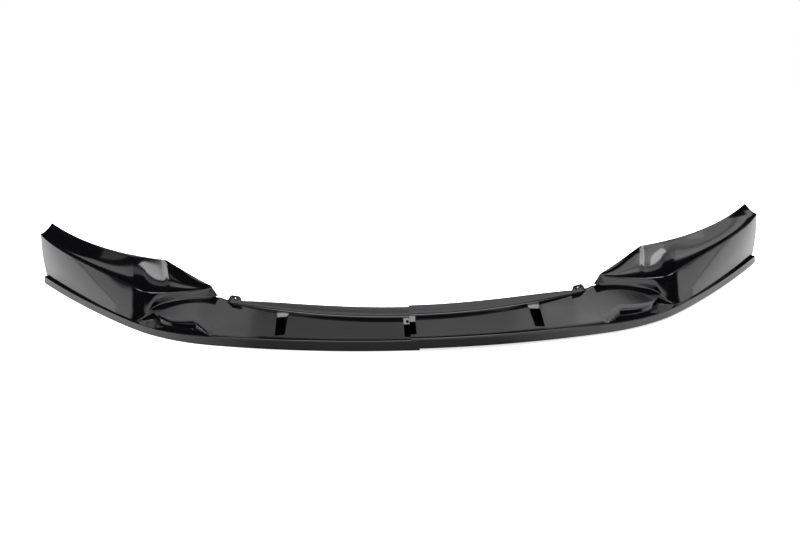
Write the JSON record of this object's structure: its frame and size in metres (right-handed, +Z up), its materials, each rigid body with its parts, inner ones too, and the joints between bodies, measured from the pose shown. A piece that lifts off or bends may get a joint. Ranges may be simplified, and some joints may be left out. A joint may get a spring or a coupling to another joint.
{
  "type": "front splitter lip",
  "caption": "Gloss black front splitter lip in two mirrored halves with hollow corner wings, screw pockets and a lapped centre seam.",
  "frame": {"origin": "midway between the front and rear ends, at the centre seam, on the plane of the lower edge", "axes": "+X across the car towards the viewer's right in the picture, -Y the way the lip faces, +Z up"},
  "size_m": [1.676, 0.5024, 0.1418],
  "materials": {
    "gloss_black_left": "gloss",
    "gloss_black_right": "gloss"
  },
  "bodies": {
    "root": {"left_half": "gloss_black_left", "right_half": "gloss_black_right"}
  },
  "joints": []
}
